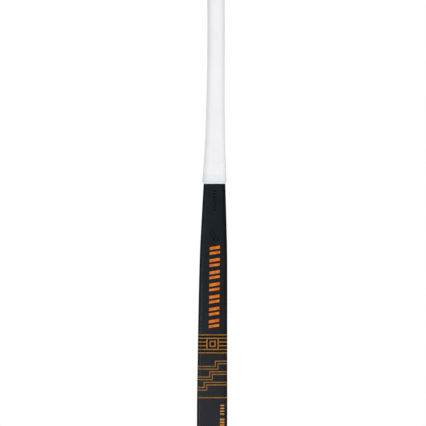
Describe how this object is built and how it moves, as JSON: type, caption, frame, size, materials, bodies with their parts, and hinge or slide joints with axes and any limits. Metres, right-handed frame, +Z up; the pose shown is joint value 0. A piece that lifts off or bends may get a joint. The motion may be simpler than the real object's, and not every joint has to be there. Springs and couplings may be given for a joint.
{
  "type": "field hockey stick",
  "caption": "Field hockey stick with a hooked head, a flat playing side, a bowed tapering shaft and a wrapped white handle grip.",
  "frame": {"origin": "centre of the flat top of the butt cap, on the handle's axis", "axes": "+Z up the handle and out of the butt end, -Y out of the flat playing side, -X towards the toe of the head"},
  "size_m": [0.118, 0.0503, 0.927],
  "materials": {
    "shaft_lacquer": "satin",
    "braided_laminate": "satin",
    "core_foam": "matte",
    "head_filler": "matte",
    "cap_rubber": "matte",
    "adhesive_tape": "matte",
    "grip_wrap": "matte",
    "finishing_band": "satin"
  },
  "bodies": {
    "root": {"shaft_shell": "shaft_lacquer", "inner_tube_heel": "braided_laminate", "inner_tube_toe": "braided_laminate", "foam_core_heel": "core_foam", "foam_core_toe": "core_foam", "head_core": "head_filler", "handle_plug": "core_foam", "butt_cap": "cap_rubber", "adhesive_underwrap": "adhesive_tape", "grip_tape": "grip_wrap", "finishing_tape": "finishing_band"}
  },
  "joints": []
}
